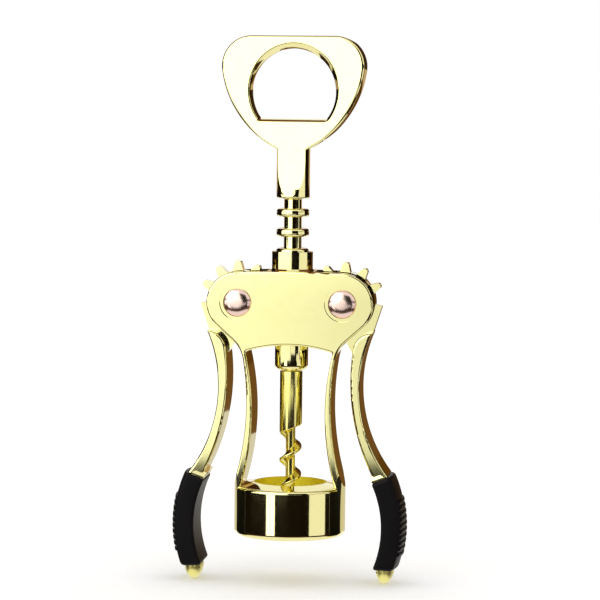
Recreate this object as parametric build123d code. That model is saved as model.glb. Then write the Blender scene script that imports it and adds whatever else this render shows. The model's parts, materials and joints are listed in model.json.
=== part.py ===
from build123d import *
import os
from math import acos, asin, atan2, cos, degrees, pi, radians, sin, sqrt

# Wine opener with two levers, in millimetres. The origin is the centre of the
# bell's mouth, +Z runs up the worm's axis and -Y faces the viewer. The levers
# are down and the ring rack is at its highest, as in the photograph.

# Values used by every piece
overrun = 2.0                # how far a cut runs past the face that it opens
slide_clearance = 0.3        # radial, between the rack and what it slides in
running_clearance = 0.08     # radial, on the spindle and on the rivets
end_play = 0.2               # axial, where one piece turns against another
seat_clearance = 0.05        # round a tang in its slot
edge_round = 0.75            # soft edge of the plated castings

# Bell
socket_radius = 15.5         # fits round a bottle's lip
socket_depth = 10.0
bell_wall = 3.0
bell_step = 3.8              # stops on the bottle's lip, round the hole for the cork
bell_top_thickness = 6.5     # from the socket's end to the rim
bell_dish_rise = 1.2         # the top climbs from the rim to the hole
bell_rim_width = 1.5         # flat rim round the dish
bell_top_round = 1.0
bell_foot_round = 1.9

# Gear and ring rack, and the pivots' height that levers and cheeks follow
pitch_radius = 12.5
teeth_per_turn = 12
pivot_height = 77.5
mesh_rise = 0.25             # middle of the meshing ring gap above the pivots
ring_count = 6
ring_radius = 5.4
ring_thickness = 2.75
ring_edge_round = 0.8
ring_core_radius = 2.95
ring_depth_in_mesh = 0.5     # how far the rings reach past the pitch line
boss_radius = 5.55
boss_length = 14.4
boss_top_round = 0.6
boss_foot_round = 1.75
lever_throw = 120.0          # degrees of lever travel

# Handle, stem and crown cap lifter
handle_turn = -6.0           # degrees that the handle stands turned
stem_radius = 5.5
stem_foot_rise = 34.4        # over the pivots
stem_foot_round = 0.7
head_thickness = 6.0
head_half_width = 24.1
head_rise = 53.6             # top of the head over the stem's foot
head_corner_radius = 10.1
head_side_radius = 33.5
head_side_lean = 7.7         # degrees that each corner's round passes its widest point
head_edge_round = 0.5
tongue_flare_radius = 27.0
tongue_flare_rise = 12.3     # the flare starts this far over the stem's foot
cap_hole_radius = 14.3
cap_hole_drop = 18.5         # centre of the hole under the head's top
cap_lip_drop = 8.9           # from the hole's centre down to the straight lip
cap_hole_corner = 1.0
cap_bevel_depth = 2.0        # the bevel on either face is deepest over the hole
cap_bevel_width = 0.65
cap_bevel_lip = 1.1
cap_bevel_rise = 1.4

# Spindle, shank and worm
spindle_radius = 2.0
spindle_socket_depth = 9.0
shank_radius = 3.75
shank_foot_height = 35.6
shank_end_taper = 2.4
worm_tip_height = 10.9
worm_core_radius = 1.6
worm_radius = 3.65
worm_pitch = 9.3
worm_ridge_height = 29.05    # a ridge crosses the +X side here
worm_ridge_foot = 4.0        # width of the ridge where it leaves the core
worm_ridge_crest = 0.5
worm_tip_length = 3.2        # the core runs out to its point over this
worm_ridge_start = 1.1       # the ridge starts this far over the point
worm_ridge_growth = 4.2      # and reaches its full height over this

# Yoke: cheeks, collar and legs
half_depth = 8.0             # of cheeks, legs and lever arms
cheek_thickness = 2.35
cheek_end_radius = 10.2
cheek_top_crown = 0.35
cheek_arch_drop = 13.9       # middle of the arch under the pivots
cheek_arch_foot_drop = 16.1
cheek_arch_half_width = 14.5
cheek_arch_round = 0.8
bridge_thickness = 1.9
collar_height = 6.25
collar_wall = 1.0
collar_foot_round = 0.6
leg_waist_share = 0.607      # of the way up from the bell to the arch
leg_waist_outer = 14.05
leg_thickness = 1.95
leg_neck_outer = 16.0
leg_neck_drop = 15.0         # under the pivots
leg_neck_round = 10.0
leg_round_share = 0.43       # most of a leg's thickness that one soft edge may take
leg_foot_thickness = 2.75
leg_foot_sink = 0.5          # trimmed to the bell's dish
leg_tab_thickness = 1.5
leg_tab_length = 2.3         # down from the bell's rim
leg_tab_round = 1.0

# Rivets
rivet_radius = 2.5
rivet_core_radius = 1.5
rivet_head_radius = 4.65
rivet_head_height = 2.2
rivet_recess_radius = 5.85
rivet_recess_depth = 0.9
rivet_end_gap = 0.3
rivet_tube_floor = 1.6

# Levers: gear sector, hub and arm. Each drop is a depth under the pivots
gear_clearance = 0.5
gear_root_radius = 10.4
tooth_lead = 2.5             # degrees that a tooth stands past the mesh line
tooth_first = -1             # teeth run from this one
tooth_last = 5               # to this one
tooth_tip_radius = 1.1
tooth_tip_reach = 13.6
tooth_foot_radius = 1.75
tooth_foot_reach = 9.8       # centre of the rounded foot
sector_thickness = 5.0
hub_radius = 7.0
arm_outer_radius = 47.0      # outer edge of the arm, one arc
arm_outer_waist = 23.5
arm_outer_waist_drop = 28.0
arm_inner_radius = 70.0      # inner edge of the arm, one arc
arm_inner_waist = 20.4
arm_inner_waist_drop = 25.0
arm_top_outer = 30.2
arm_top_outer_drop = 0.7
arm_top_inner = 27.6
arm_top_inner_drop = 0.2
arm_heel_inner = 19.4        # inner corner of the thin web under the cheek
arm_heel_drop = 14.6
arm_heel_foot_drop = 16.9
shoulder_inner_drop = 15.3
shoulder_outer_drop = 9.4
shoulder_mid_inset = 3.2     # middle of the shoulder, in from the arm's outer edge
shoulder_mid_drop = 10.6
foot_flare_height = 1.6
foot_flare_depth = 0.6
flange_thickness = 0.7
flange_inner_inset = 0.35    # the flange stands in from the grip's inner edge
flange_outer_inset = 1.6
foot_flare_lean = -0.9       # the arm leans in above its flange
foot_flare_narrow = 0.9

# Grips and end caps
grip_bend_x = -3.9           # the grip bends about this line
grip_bend_drop = 74.0        # under the pivots
grip_inner_radius = 35.1
grip_outer_radius = 41.3
grip_crown = 1.3             # the outer face bulges between its edges
grip_half_depth = 9.2
grip_edge_round = 0.8
grip_top_round = 1.4         # outer corner of the grip's upper end
grip_top_outer_rise = 17.3   # over the bend line
grip_top_inner_rise = 15.1
grip_foot_outer_drop = 13.9  # under the bend line
grip_foot_inner_drop = 13.6
rib_count = 10
rib_pitch = 1.95
rib_width = 1.25
rib_proud = 0.45
rib_inset = 1.2              # the ribs stop short of the grip's faces
rib_middle = 0.2             # height of the ribs' middle over the bend line
tang_thickness = 3.0
tang_half_depth = 4.5
tang_reach_in_cap = 1.6
cap_half_width = 3.05
cap_shift = 0.4              # the cap stands out past the grip's outer face
cap_half_depth = 6.8
cap_rim = 0.8
cap_drop = 4.6

# Places worked out from the values above
bell_radius = socket_radius + bell_wall
bell_hole_radius = socket_radius - bell_step
bell_rim_height = socket_depth + bell_top_thickness
ring_pitch = 2 * pi * pitch_radius / teeth_per_turn
pivot_offset = ring_radius - ring_depth_in_mesh + pitch_radius
rack_travel = radians(lever_throw) * pitch_radius
low_ring_height = pivot_height + mesh_rise - ring_pitch / 2
boss_top_height = low_ring_height - ring_pitch + ring_thickness / 2
boss_foot_height = boss_top_height - boss_length
cavity_half = half_depth - cheek_thickness
collar_bore_radius = max(ring_radius, stem_radius) + slide_clearance
collar_radius = collar_bore_radius + collar_wall
cheek_top_height = pivot_height + cheek_end_radius
cheek_seat_height = cheek_top_height + cheek_top_crown
cheek_arch_foot = pivot_height - cheek_arch_foot_drop
leg_thinnest = min(leg_thickness, leg_neck_outer - cheek_arch_half_width)
yoke_round = min(edge_round, leg_round_share * leg_thinnest)
stem_foot_height = pivot_height + stem_foot_rise
head_height = stem_foot_height + head_rise
grip_bend_z = pivot_height - grip_bend_drop


def box_between(low, high):
    """Box from its lowest to its highest corner."""
    size = [b - a for a, b in zip(low, high)]
    return Pos(*low) * Box(*size, align=(Align.MIN, Align.MIN, Align.MIN))


def post(radius, foot, top):
    """Upright round bar on the Z axis."""
    return Pos(0, 0, foot) * Cylinder(radius, top - foot, align=(Align.CENTER, Align.CENTER, Align.MIN))


def crossbar(radius, x, z, front, back):
    """Round bar along Y from front to back."""
    middle = Plane(origin=(x, front, z), x_dir=(1, 0, 0), z_dir=(0, 1, 0))
    return extrude(middle * Circle(radius), back - front)


def through_depth(face, half):
    """Solid that a front face sweeps, half to each side of Y = 0."""
    return extrude(face, amount=half, both=True)


def other_side(solid):
    """The same piece for the left side."""
    return mirror(solid, about=Plane.YZ)


# Crown cap lifter with its stem
def side_centre():
    """Centre of the arc that the plate's right side follows."""
    lean = radians(head_side_lean)
    reach = head_side_radius - head_corner_radius
    x = head_half_width - head_corner_radius - reach * cos(lean)
    return x, head_height - head_corner_radius + reach * sin(lean)


def side_height(x):
    """Height of the plate's lower side at x."""
    centre_x, centre_z = side_centre()
    return centre_z - sqrt(head_side_radius ** 2 - (x - centre_x) ** 2)


def head_plate():
    """Flat plate whose two sides meet inside the stem."""
    corner_x = head_half_width - head_corner_radius
    corner_z = head_height - head_corner_radius
    lean = radians(head_side_lean)
    corner_share = sin(pi / 4)
    corner_mid = (corner_x + head_corner_radius * corner_share, corner_z + head_corner_radius * corner_share)
    corner_end = (corner_x + head_corner_radius * cos(lean), corner_z - head_corner_radius * sin(lean))
    centre_x, centre_z = side_centre()
    point = side_height(0)
    turn = (lean + asin((centre_z - point) / head_side_radius)) / 2
    side_mid = (centre_x + head_side_radius * cos(turn), centre_z - head_side_radius * sin(turn))
    half = make_face(Wire([
        Line((0, head_height), (corner_x, head_height)),
        ThreePointArc((corner_x, head_height), corner_mid, corner_end),
        ThreePointArc(corner_end, side_mid, (0, point)),
        Line((0, point), (0, head_height)),
    ]))
    outline = half + mirror(half, about=Plane.YZ)
    plate = through_depth(Plane.XZ * outline, head_thickness / 2)
    faces = plate.faces().filter_by(Axis.Y)
    return fillet(faces.edges(), head_edge_round)


def cap_outline(width, lip, rise):
    """D outline of the cap lifter's hole, widened at its sides, lip and top."""
    middle = head_height - cap_hole_drop
    size = 4 * cap_hole_radius
    window = Pos(0, middle - cap_lip_drop - lip) * Rectangle(size, size, align=(Align.CENTER, Align.MIN))
    outline = (Pos(0, middle + rise) * Circle(cap_hole_radius + width)) & window
    return fillet(outline.vertices(), cap_hole_corner)


def cap_hole():
    outline = cap_outline(0, 0, 0)
    hole = through_depth(Plane.XZ * outline, head_thickness / 2)
    flared = cap_outline(cap_bevel_width, cap_bevel_lip, cap_bevel_rise)
    near = Plane.XZ.offset(head_thickness / 2)
    deep = Plane.XZ.offset(head_thickness / 2 - cap_bevel_depth)
    bevel = loft([deep * outline, near * flared])
    return hole + bevel + mirror(bevel, about=Plane.XZ)


def stem():
    shoulder = side_height(stem_radius)
    top = shoulder + spindle_radius
    bar = post(stem_radius, stem_foot_height, top)
    bar = fillet(bar.edges().group_by(Axis.Z)[0], stem_foot_round)
    half = head_thickness / 2
    flare = stem_foot_height + tongue_flare_rise
    turn = asin(tongue_flare_rise / tongue_flare_radius)
    spread = half + tongue_flare_radius * (1 - cos(turn))
    mid = half + tongue_flare_radius * (1 - cos(turn / 2))
    mid_height = flare - tongue_flare_radius * sin(turn / 2)
    side = Wire([
        Line((half, top), (half, flare)),
        ThreePointArc((half, flare), (mid, mid_height), (spread, stem_foot_height)),
        Line((spread, stem_foot_height), (-spread, stem_foot_height)),
        ThreePointArc((-spread, stem_foot_height), (-mid, mid_height), (-half, flare)),
        Line((-half, flare), (-half, top)),
        Line((-half, top), (half, top)),
    ])
    tongue = extrude(Plane.YZ * make_face(side), amount=stem_radius, both=True)
    socket = post(spindle_radius, stem_foot_height, stem_foot_height + spindle_socket_depth)
    return (bar & tongue) - socket


def opener_head():
    return Rot(0, 0, handle_turn) * (head_plate() - cap_hole() + stem())


# Spindle, shank and worm, one bar
def worm_ridge():
    """Right-hand ridge that grows from the worm's point and runs out in the shank."""
    start = worm_tip_height - worm_pitch
    end = shank_foot_height + shank_end_taper + worm_ridge_foot / 2
    path = Helix(worm_pitch, end - start, worm_core_radius, center=(0, 0, start))
    foot = worm_ridge_foot / 2
    crest = worm_ridge_crest / 2
    reach = worm_radius - worm_core_radius
    root = worm_core_radius / 2
    profile = make_face(Polyline(
        (-root, -foot), (0, -foot), (reach, -crest), (reach, crest), (0, foot), (-root, foot), close=True))
    upright = Plane(origin=path @ 0, x_dir=(1, 0, 0), z_dir=(0, 1, 0))
    ridge = sweep(upright * profile, path=path, is_frenet=True)
    lead = 360 * (worm_ridge_height - start) / worm_pitch
    low = worm_tip_height + worm_ridge_start
    wide = worm_radius + overrun
    shoulder = low + worm_ridge_growth * wide / worm_radius
    top = end + worm_ridge_foot
    growth = make_face(Polyline((0, low), (wide, shoulder), (wide, top), (0, top), close=True))
    return Rot(0, 0, -lead) * ridge & revolve(Plane.XZ * growth, Axis.Z)


def worm_spindle():
    shank_top = boss_foot_height - end_play
    rod_top = stem_foot_height + spindle_socket_depth
    outline = make_face(Polyline(
        (0, worm_tip_height), (worm_core_radius, worm_tip_height + worm_tip_length),
        (worm_core_radius, shank_foot_height), (shank_radius, shank_foot_height + shank_end_taper),
        (shank_radius, shank_top), (spindle_radius, shank_top), (spindle_radius, rod_top), (0, rod_top),
        close=True))
    return Rot(0, 0, handle_turn) * (revolve(Plane.XZ * outline, Axis.Z) + worm_ridge())


# Ring rack, bored for the spindle
def rack_sleeve():
    top = stem_foot_height - end_play
    solid = post(ring_core_radius, boss_foot_height, top)
    for index in range(ring_count):
        middle = low_ring_height + index * ring_pitch
        ring = post(ring_radius, middle - ring_thickness / 2, middle + ring_thickness / 2)
        solid += fillet(ring.edges().filter_by(GeomType.CIRCLE), ring_edge_round)
    boss = post(boss_radius, boss_foot_height, boss_top_height)
    boss = fillet(boss.edges().group_by(Axis.Z)[0], boss_foot_round)
    boss = fillet(boss.edges().group_by(Axis.Z)[-1], boss_top_round)
    bore = post(spindle_radius + running_clearance, boss_foot_height - overrun, top + overrun)
    return solid + boss - bore


# Bell with its bottle socket
def bell_blank():
    dish_foot = bell_radius - bell_rim_width
    hole_top = bell_rim_height + bell_dish_rise
    outline = make_face(Polyline(
        (socket_radius, 0), (bell_radius, 0), (bell_radius, bell_rim_height), (dish_foot, bell_rim_height),
        (bell_hole_radius, hole_top), (bell_hole_radius, socket_depth), (socket_radius, socket_depth),
        close=True))
    solid = revolve(Plane.XZ * outline, Axis.Z)
    rim = solid.edges().filter_by(GeomType.CIRCLE).filter_by_position(Axis.Z, bell_rim_height, bell_rim_height)
    solid = fillet(rim.sort_by(SortBy.RADIUS)[-1], bell_top_round)
    foot = solid.edges().filter_by(GeomType.CIRCLE).filter_by_position(Axis.Z, 0, 0)
    return fillet(foot.sort_by(SortBy.RADIUS)[-1], bell_foot_round)


def tab_room(outer):
    """Place of the right leg's lower end in the bell's wall, out to a radius."""
    foot = bell_rim_height - leg_tab_length
    block = box_between((0, -half_depth, foot), (outer, half_depth, bell_rim_height))
    block = fillet(block.edges().filter_by(Axis.X).group_by(Axis.Z)[0], leg_tab_round)
    inner = post(bell_radius - leg_tab_thickness, foot - overrun, bell_rim_height + overrun)
    return (block & post(outer, foot, bell_rim_height)) - inner


def bell():
    room = tab_room(bell_radius + overrun)
    return bell_blank() - room - other_side(room)


# Yoke
def crown_end():
    """Where the crowned top runs into the round about a pivot."""
    rise = cheek_end_radius + cheek_top_crown
    radius = (pivot_offset ** 2 / cheek_top_crown + cheek_end_radius + rise) / 2
    stretch = cheek_end_radius / (radius - cheek_end_radius)
    return pivot_offset * (1 + stretch), pivot_height + (radius - rise) * stretch


def round_end():
    """Where a straight line to the leg's neck leaves the round about a pivot."""
    across = leg_neck_outer - pivot_offset
    turn = atan2(-leg_neck_drop, across) + acos(cheek_end_radius / sqrt(across ** 2 + leg_neck_drop ** 2))
    return pivot_offset + cheek_end_radius * cos(turn), pivot_height + cheek_end_radius * sin(turn)


def yoke_outline():
    """Cheek plate and legs as seen from the front."""
    foot = bell_rim_height - leg_foot_sink
    waist = foot + (cheek_arch_foot - foot) * leg_waist_share
    top = crown_end()
    low = round_end()
    neck = (leg_neck_outer, pivot_height - leg_neck_drop)
    arch_foot = (cheek_arch_half_width, cheek_arch_foot)
    foot_inner = (bell_radius - leg_foot_thickness, foot)
    right = [
        ThreePointArc(top, (pivot_offset + cheek_end_radius, pivot_height), low),
        Line(low, neck),
        ThreePointArc(neck, (leg_waist_outer, waist), (bell_radius, foot)),
        Line((bell_radius, foot), foot_inner),
        ThreePointArc(foot_inner, (leg_waist_outer - leg_thickness, waist), arch_foot),
    ]
    left = [edge.mirror(Plane.YZ) for edge in right]
    crown = ThreePointArc((-top[0], top[1]), (0, cheek_seat_height), top)
    arch = ThreePointArc((-arch_foot[0], arch_foot[1]), (0, pivot_height - cheek_arch_drop), arch_foot)
    face = make_face(Wire(right + left + [crown, arch]))
    necks = [face.vertices().sort_by_distance((side * neck[0], neck[1]))[0] for side in (-1, 1)]
    face = fillet(necks, leg_neck_round)
    feet = [face.vertices().sort_by_distance((side * arch_foot[0], arch_foot[1]))[0] for side in (-1, 1)]
    return fillet(feet, cheek_arch_round)


def cheek_cavity():
    """Room between the cheeks for the gear sectors and the rack."""
    ceiling = cheek_seat_height - bridge_thickness
    tip_room = tooth_tip_reach + gear_clearance
    floor = cheek_arch_foot - overrun
    room = Pos(0, floor) * Rectangle(
        2 * collar_radius, ceiling - floor, align=(Align.CENTER, Align.MIN))
    for side in (-1, 1):
        room += Pos(side * pivot_offset, pivot_height) * Circle(tip_room)
    bridge = Pos(0, ceiling) * Rectangle(
        2 * collar_radius, tip_room, align=(Align.CENTER, Align.MIN))
    return through_depth(Plane.XZ * (room - bridge), cavity_half)


def past_bell():
    """What of the legs stands out past the bell's side, below their waist."""
    waist = bell_rim_height + (cheek_arch_foot - bell_rim_height) * leg_waist_share
    wide = bell_radius + leg_neck_outer
    around = box_between((-wide, -wide, 0), (wide, wide, waist))
    return around - post(bell_radius, -overrun, waist + overrun)


def collar():
    """Sleeve on top of the cheeks that guides the rack."""
    foot = Cone(collar_radius + collar_foot_round, collar_radius, collar_foot_round,
                align=(Align.CENTER, Align.CENTER, Align.MIN))
    sleeve = post(collar_radius, cheek_seat_height - bridge_thickness, cheek_seat_height + collar_height)
    return sleeve + Pos(0, 0, cheek_seat_height) * foot


def rivet_holes():
    far = half_depth + overrun
    floor = half_depth - rivet_recess_depth
    holes = crossbar(rivet_radius, pivot_offset, pivot_height, -far, far)
    holes += crossbar(rivet_recess_radius, pivot_offset, pivot_height, -far, -floor)
    return holes + crossbar(rivet_recess_radius, pivot_offset, pivot_height, floor, far)


def yoke():
    solid = through_depth(Plane.XZ * yoke_outline(), half_depth)
    solid = fillet(solid.faces().filter_by(Axis.Y).edges(), yoke_round)
    solid = solid + collar() - cheek_cavity()
    bore_foot = cheek_seat_height - bridge_thickness - overrun
    solid -= post(collar_bore_radius, bore_foot, cheek_seat_height + collar_height + overrun)
    tab = tab_room(bell_radius)
    solid = solid - past_bell() + tab + other_side(tab)
    holes = rivet_holes()
    return solid - holes - other_side(holes) - bell()


# Two-piece rivets, right side, pressed together
def rivet_head():
    """Domed head that sits in the front recess, its shank side towards +Y."""
    ball = (rivet_head_radius ** 2 + rivet_head_height ** 2) / (2 * rivet_head_height)
    seat = -half_depth + rivet_recess_depth
    centre = seat - rivet_head_height + ball
    dome = Pos(pivot_offset, centre, pivot_height) * Sphere(ball)
    return dome & crossbar(rivet_head_radius + overrun, pivot_offset, pivot_height, seat - ball, seat)


def rivet_front():
    seat = -half_depth + rivet_recess_depth
    tube_end = -seat - rivet_end_gap
    tube = crossbar(rivet_radius, pivot_offset, pivot_height, seat, tube_end)
    bore = crossbar(rivet_core_radius, pivot_offset, pivot_height, seat + rivet_tube_floor, tube_end + overrun)
    return rivet_head() + tube - bore


def rivet_back():
    seat = half_depth - rivet_recess_depth
    pin = crossbar(rivet_core_radius, pivot_offset, pivot_height,
                   -seat + rivet_tube_floor + rivet_end_gap, seat)
    return mirror(rivet_head(), about=Plane.XZ) + pin


# Grip ends, drawn in the front plane as (x, z)
def grip_edge(radius, z):
    return grip_bend_x + sqrt(radius ** 2 - (z - grip_bend_z) ** 2)


def end_line(inner_height, outer_height):
    """Inner and outer corner of a grip's end, and the ways along and up from it."""
    inner = Vector(grip_edge(grip_inner_radius, inner_height), inner_height)
    outer = Vector(grip_edge(grip_outer_radius, outer_height), outer_height)
    along = (outer - inner).normalized()
    return inner, outer, along, Vector(-along.Y, along.X)


def top_line():
    return end_line(grip_bend_z + grip_top_inner_rise, grip_bend_z + grip_top_outer_rise)


def foot_line():
    return end_line(grip_bend_z - grip_foot_inner_drop, grip_bend_z - grip_foot_outer_drop)


def flat(points):
    """Closed outline through front-plane points."""
    return make_face(Polyline(*[(point.X, point.Y) for point in points], close=True))


def between_ends(below_foot=0.0):
    """Space between the grip's ends, wider than the grip."""
    inner, outer, along, up = top_line()
    low_inner, low_outer, low_along, low_up = foot_line()
    wide = grip_outer_radius - grip_inner_radius
    outline = flat([
        inner - along * wide, outer + along * wide,
        low_outer + low_along * wide - low_up * below_foot,
        low_inner - low_along * wide - low_up * below_foot])
    return through_depth(Plane.XZ * outline, grip_half_depth + overrun)


def bend_bar(section):
    """Turn a section, drawn as (radius, y), about the grip's bend line."""
    reach = max(grip_top_outer_rise, grip_foot_outer_drop)
    spread = degrees(asin((reach + cap_drop) / grip_inner_radius))
    line = Axis((grip_bend_x, 0, grip_bend_z), (0, 1, 0))
    start = Plane(origin=(grip_bend_x, 0, grip_bend_z), x_dir=(1, 0, 0), z_dir=(0, 0, 1))
    bar = revolve(start * section, axis=line, revolution_arc=2 * spread)
    return bar.rotate(line, -spread)


def tang_bar(room):
    """Bent tongue under the grip, with room added all round."""
    middle = (grip_inner_radius + grip_outer_radius) / 2
    return bend_bar(Pos(middle, 0) * Rectangle(tang_thickness + 2 * room, 2 * (tang_half_depth + room)))


# Right lever: gear sector, hub, arm and tang in one casting
def outer_point(drop):
    """Point of the arm's outer edge, that far under the pivots."""
    centre = arm_outer_waist + arm_outer_radius
    x = centre - sqrt(arm_outer_radius ** 2 - (arm_outer_waist_drop - drop) ** 2)
    return x, pivot_height - drop


def inner_point(drop):
    centre = arm_inner_waist + arm_inner_radius
    x = centre - sqrt(arm_inner_radius ** 2 - (arm_inner_waist_drop - drop) ** 2)
    return x, pivot_height - drop


def tooth(index):
    angle = 180 - tooth_lead - index * 360 / teeth_per_turn
    tip = tooth_tip_reach - tooth_tip_radius
    finger = make_hull((Pos(tooth_foot_reach, 0) * Circle(tooth_foot_radius)).edges()
                       + (Pos(tip, 0) * Circle(tooth_tip_radius)).edges())
    return Pos(pivot_offset, pivot_height) * Rot(0, 0, angle) * finger


def sector_outline():
    """Thin gear sector with the web that carries the arm."""
    disc = Pos(pivot_offset, pivot_height) * Circle(gear_root_radius)
    for index in range(tooth_first, tooth_last + 1):
        disc += tooth(index)
    pivot = (pivot_offset, pivot_height)
    top = (arm_top_inner, pivot_height - arm_top_inner_drop)
    corner = (arm_top_outer, pivot_height - arm_top_outer_drop)
    shoulder = outer_point(shoulder_outer_drop)
    waist = outer_point(arm_outer_waist_drop)
    heel_foot = inner_point(arm_heel_foot_drop)
    heel = (arm_heel_inner, pivot_height - arm_heel_drop)
    root = (pivot_offset, pivot_height - gear_root_radius)
    web = make_face(Wire([
        Line(pivot, top),
        Line(top, corner),
        Line(corner, shoulder),
        ThreePointArc(shoulder, outer_point(shoulder_inner_drop), waist),
        Line(waist, heel_foot),
        Line(heel_foot, heel),
        Line(heel, root),
        Line(root, pivot),
    ]))
    return disc + web


def flange_ends():
    """Inner and outer end of the flange's seat on the grip, and the way up from it."""
    inner, outer, along, up = top_line()
    return inner + along * flange_inner_inset, outer - along * flange_outer_inset, up


def arm_outline():
    """Full-depth arm, from its rounded shoulder to the flange."""
    inner_end, outer_end, up = flange_ends()
    inner_foot = inner_point(pivot_height - inner_end.Y - flange_thickness)
    outer_foot = outer_point(pivot_height - outer_end.Y - flange_thickness)
    inner_top = inner_point(shoulder_inner_drop)
    outer_top = outer_point(shoulder_outer_drop)
    mid_x, mid_z = outer_point(shoulder_mid_drop)
    return make_face(Wire([
        ThreePointArc(inner_top, (mid_x - shoulder_mid_inset, mid_z), outer_top),
        ThreePointArc(outer_top, outer_point(arm_outer_waist_drop), outer_foot),
        Line(outer_foot, inner_foot),
        ThreePointArc(inner_foot, inner_point(arm_inner_waist_drop), inner_top),
    ]))


def arm_foot():
    """Flange on the grip's end, and the flare of the arm down to it."""
    inner, outer, up = flange_ends()
    rise = up * flange_thickness
    plate = flat([inner, outer, outer + rise, inner + rise])
    flange = through_depth(Plane.XZ * plate, half_depth + foot_flare_depth)
    seat = Plane(origin=((inner.X + outer.X) / 2 + rise.X, 0, (inner.Y + outer.Y) / 2 + rise.Y),
                 x_dir=(up.Y, 0, -up.X), z_dir=(up.X, 0, up.Y))
    width = (outer - inner).length
    low = Rectangle(width, 2 * (half_depth + foot_flare_depth))
    lean = Pos(foot_flare_lean, 0) * Rectangle(width - foot_flare_narrow, 2 * half_depth - edge_round)
    return flange + loft([seat * low, seat.offset(foot_flare_height) * lean])


def lever():
    solid = through_depth(Plane.XZ * sector_outline(), sector_thickness / 2)
    hub = cavity_half - end_play
    solid += crossbar(hub_radius, pivot_offset, pivot_height, -hub, hub)
    arm = through_depth(Plane.XZ * arm_outline(), half_depth)
    long_edges = arm.faces().filter_by(Axis.Y).edges().filter_by(GeomType.CIRCLE)
    solid += fillet(long_edges, edge_round)
    solid += arm_foot()
    solid += tang_bar(0) & between_ends(tang_reach_in_cap)
    return solid - crossbar(rivet_radius + running_clearance, pivot_offset, pivot_height, -hub, hub)


# Right grip and its end cap
def crowned_section(proud):
    """Grip section with its crowned outer face, drawn as (radius, y)."""
    half = grip_half_depth
    outer = grip_outer_radius + proud
    face = make_face(Wire([
        Line((outer, half), (grip_inner_radius, half)),
        Line((grip_inner_radius, half), (grip_inner_radius, -half)),
        Line((grip_inner_radius, -half), (outer, -half)),
        ThreePointArc((outer, -half), (outer + grip_crown, 0), (outer, half)),
    ]))
    return fillet(face.vertices(), grip_edge_round)


def grip_ribs():
    """Ribs across the outer face, following its crown."""
    middle = grip_outer_radius + grip_crown / 2
    size = (2 * grip_crown + 2 * rib_proud, 2 * (grip_half_depth - rib_inset), rib_width)
    ribs = Part()
    for index in range(rib_count):
        angle = degrees((rib_middle + (index - (rib_count - 1) / 2) * rib_pitch) / middle)
        ribs += Pos(grip_bend_x, 0, grip_bend_z) * Rot(0, -angle, 0) * Pos(middle, 0, 0) * Box(*size)
    return ribs & bend_bar(crowned_section(rib_proud))


def grip():
    bar = bend_bar(crowned_section(0)) & between_ends()
    inner, outer, along, up = top_line()
    top_edges = bar.edges().filter_by(Axis.Y)
    corner = top_edges.sort_by_distance((outer.X, 0, outer.Y))[0]
    bar = fillet(corner, grip_top_round)
    return bar + grip_ribs() - tang_bar(seat_clearance)


def end_cap():
    """Domed cap under the grip, with a socket for the tang."""
    inner, outer, along, up = foot_line()
    middle = (inner + outer) * 0.5 + along * cap_shift
    seat = Plane(origin=(middle.X, 0, middle.Y), x_dir=(along.X, 0, along.Y), z_dir=(up.X, 0, up.Y))
    rim = extrude(Ellipse(cap_half_width, cap_half_depth), -cap_rim)
    ball = scale(Sphere(1), by=(cap_half_width, cap_half_depth, cap_drop))
    below = box_between((-cap_half_width, -cap_half_depth, -cap_drop), (cap_half_width, cap_half_depth, 0))
    dome = Pos(0, 0, -cap_rim) * (ball & below)
    return seat.location * (rim + dome) - (tang_bar(seat_clearance) & between_ends(tang_reach_in_cap))


def main():
    lever_right = lever()
    grip_right = grip()
    cap_right = end_cap()
    front_right = rivet_front()
    back_right = rivet_back()
    pieces = {
        "opener_head": opener_head(),
        "worm_spindle": worm_spindle(),
        "rack_sleeve": rack_sleeve(),
        "yoke": yoke(),
        "bell": bell(),
        "right_lever": lever_right,
        "left_lever": other_side(lever_right),
        "right_grip": grip_right,
        "left_grip": other_side(grip_right),
        "right_end_cap": cap_right,
        "left_end_cap": other_side(cap_right),
        "rivet_front_right": front_right,
        "rivet_front_left": other_side(front_right),
        "rivet_back_right": back_right,
        "rivet_back_left": other_side(back_right),
    }
    os.makedirs("parts", exist_ok=True)
    for name, solid in pieces.items():
        export_step(solid.solid(), "parts/" + name + ".step")


main()
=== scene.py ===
import json
import math

import bmesh
import bpy
from mathutils import Matrix, Vector


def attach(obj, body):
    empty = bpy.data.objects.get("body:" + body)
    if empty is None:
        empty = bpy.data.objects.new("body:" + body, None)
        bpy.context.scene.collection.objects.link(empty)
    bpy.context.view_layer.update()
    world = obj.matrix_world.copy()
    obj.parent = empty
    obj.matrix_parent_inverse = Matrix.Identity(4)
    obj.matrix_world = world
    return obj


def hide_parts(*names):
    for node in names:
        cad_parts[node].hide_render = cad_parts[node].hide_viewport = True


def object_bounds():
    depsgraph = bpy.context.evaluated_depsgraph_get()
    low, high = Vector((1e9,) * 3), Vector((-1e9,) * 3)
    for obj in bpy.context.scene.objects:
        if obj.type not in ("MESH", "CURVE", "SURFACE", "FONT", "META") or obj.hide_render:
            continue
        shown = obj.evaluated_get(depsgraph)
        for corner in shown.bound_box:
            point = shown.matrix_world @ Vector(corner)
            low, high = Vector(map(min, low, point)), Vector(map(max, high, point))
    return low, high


# Looks of a gold-plated wing corkscrew. Yoke, bell and levers keep their CAD nodes and get bright
# plating. Rack, worm, handle, rivets, grips and end caps are built again here.

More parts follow.
